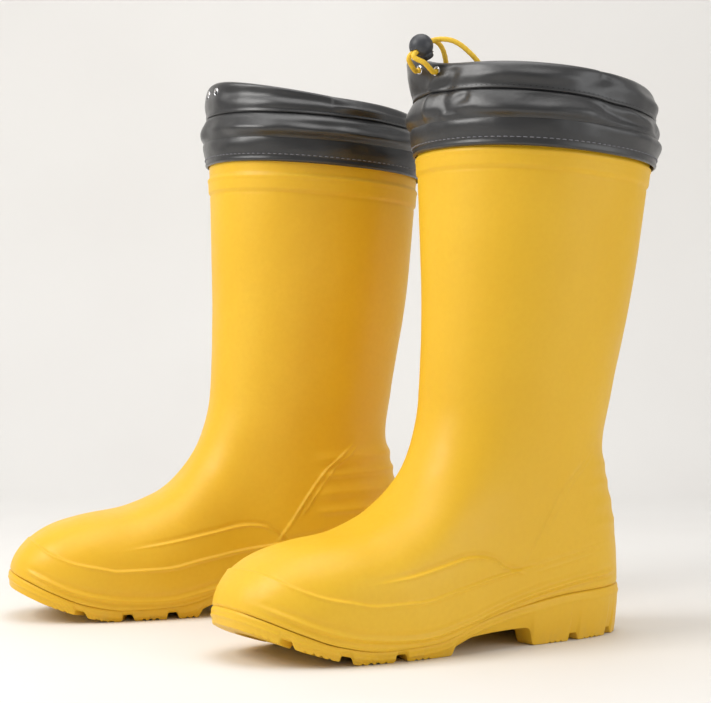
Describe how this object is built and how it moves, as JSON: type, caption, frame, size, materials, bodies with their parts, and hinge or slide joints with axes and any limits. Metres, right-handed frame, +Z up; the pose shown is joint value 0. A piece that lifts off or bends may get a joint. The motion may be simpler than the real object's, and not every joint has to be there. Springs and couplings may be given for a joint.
{
  "type": "deck boots",
  "caption": "Pair of tall moulded foam deck boots with lugged soles and soft fabric cuffs closed by a drawcord and cord lock.",
  "frame": {"origin": "Centre of the pair's bounding box, on the ground plane that the soles stand on", "axes": "+Z up; toes point toward -Y, each boot turned 8.6 degrees outward; left boot at +X, right boot at -X and further forward"},
  "size_m": [0.3732, 0.4029, 0.412],
  "materials": {
    "eva_yellow": "satin moulded EVA foam",
    "insole_foam": "matt",
    "coated_fabric_black": "satin coated fabric",
    "eyelet_metal": "satin",
    "cord_yellow": "braided",
    "lock_plastic_grey": "matt",
    "spring_steel": "bright wire",
    "thread_grey": "polyester thread"
  },
  "bodies": {
    "left_boot": {"left_shell": "eva_yellow", "left_outsole": "eva_yellow", "left_insole": "insole_foam", "left_cuff_band": "coated_fabric_black", "left_cuff_sleeve": "coated_fabric_black", "left_band_thread": "thread_grey"},
    "left_cuff": {"left_cuff_casing": "coated_fabric_black", "left_outer_eyelet": "eyelet_metal", "left_inner_eyelet": "eyelet_metal", "left_outer_washer": "eyelet_metal", "left_inner_washer": "eyelet_metal", "left_casing_thread": "thread_grey", "left_drawcord": "cord_yellow"},
    "left_lock": {"left_lock_body": "lock_plastic_grey", "left_lock_spring": "spring_steel"},
    "left_plunger": {"left_lock_plunger": "lock_plastic_grey"},
    "right_boot": {"right_shell": "eva_yellow", "right_outsole": "eva_yellow", "right_insole": "insole_foam", "right_cuff_band": "coated_fabric_black", "right_cuff_sleeve": "coated_fabric_black", "right_band_thread": "thread_grey"},
    "right_cuff": {"right_cuff_casing": "coated_fabric_black", "right_outer_eyelet": "eyelet_metal", "right_inner_eyelet": "eyelet_metal", "right_outer_washer": "eyelet_metal", "right_inner_washer": "eyelet_metal", "right_casing_thread": "thread_grey"}
  },
  "joints": [
    {"name": "right_boot_lift", "type": "slide", "parent": "left_boot", "child": "right_boot", "axis": [0, 0, 1], "range_m": [0, 0.25]},
    {"name": "left_cuff_pull", "type": "slide", "parent": "left_boot", "child": "left_cuff", "axis": [0, 0, 1], "range_m": [-0.012, 0.012], "deforming": ["left_cuff_sleeve"]},
    {"name": "right_cuff_pull", "type": "slide", "parent": "right_boot", "child": "right_cuff", "axis": [0, 0, 1], "range_m": [-0.012, 0.012], "deforming": ["right_cuff_sleeve"]},
    {"name": "left_lock_slide", "type": "slide", "parent": "left_cuff", "child": "left_lock", "axis": [-0.1254, 0.8292, 0.5446], "range_m": [-0.0005, 0.002]},
    {"name": "left_plunger_press", "type": "slide", "parent": "left_lock", "child": "left_plunger", "axis": [0.0814, -0.5385, 0.8387], "range_m": [0, 0.002], "stiffness_N_per_m": 300, "springref_m": -0.002}
  ]
}
